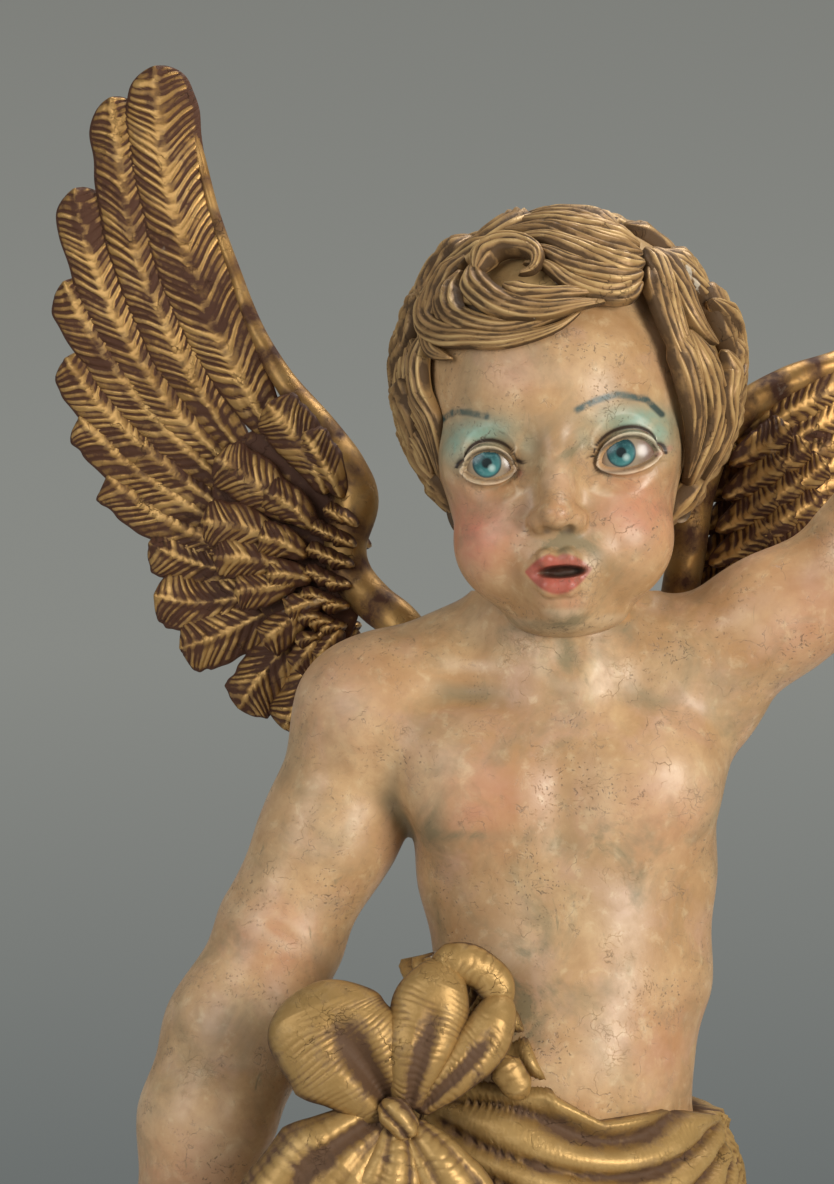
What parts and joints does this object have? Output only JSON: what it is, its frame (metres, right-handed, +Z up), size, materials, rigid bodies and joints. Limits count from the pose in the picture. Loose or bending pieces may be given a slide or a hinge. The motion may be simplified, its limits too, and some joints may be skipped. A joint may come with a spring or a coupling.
{
  "type": "angel figurine",
  "caption": "Standing winged child angel in painted cast resin on a round turned base, one arm raised and one hanging, with separate wings and a tied loincloth.",
  "frame": {"origin": "centre of the felt's underside, where the figurine rests", "axes": "+Z up; the figure looks along -Y; its left side is +X"},
  "size_m": [0.2348, 0.15, 0.4366],
  "materials": {
    "flesh_paint": "aged cream flesh paint, satin, crazed and worn",
    "hair_paint": "umber hair paint with gold ochre wash",
    "eye_varnish": "glossy painted eye",
    "gilding": "gold leaf paint over red-brown ground, rubbed",
    "cloth_gilding": "bronze-gold paint over brown, chipped to white",
    "base_finish": "dark umber with rubbed gold edges",
    "felt": "short green felt",
    "steel": "zinc plated",
    "dowel_wood": "plain birch"
  },
  "bodies": {
    "root": {"base_plinth": "base_finish", "base_felt": "felt", "leg_rods": "steel", "rod_washers": "steel", "rod_nuts": "steel", "right_leg": "flesh_paint", "left_leg": "flesh_paint", "torso": "flesh_paint", "head": "hair_paint", "neck_dowel": "dowel_wood", "right_upper_arm": "flesh_paint", "left_upper_arm": "flesh_paint", "right_forearm": "flesh_paint", "left_forearm": "flesh_paint", "right_wing": "gilding", "left_wing": "gilding", "shoulder_dowels": "dowel_wood", "elbow_dowels": "dowel_wood", "wing_dowels": "dowel_wood", "loincloth": "cloth_gilding", "bow": "cloth_gilding"}
  },
  "joints": []
}
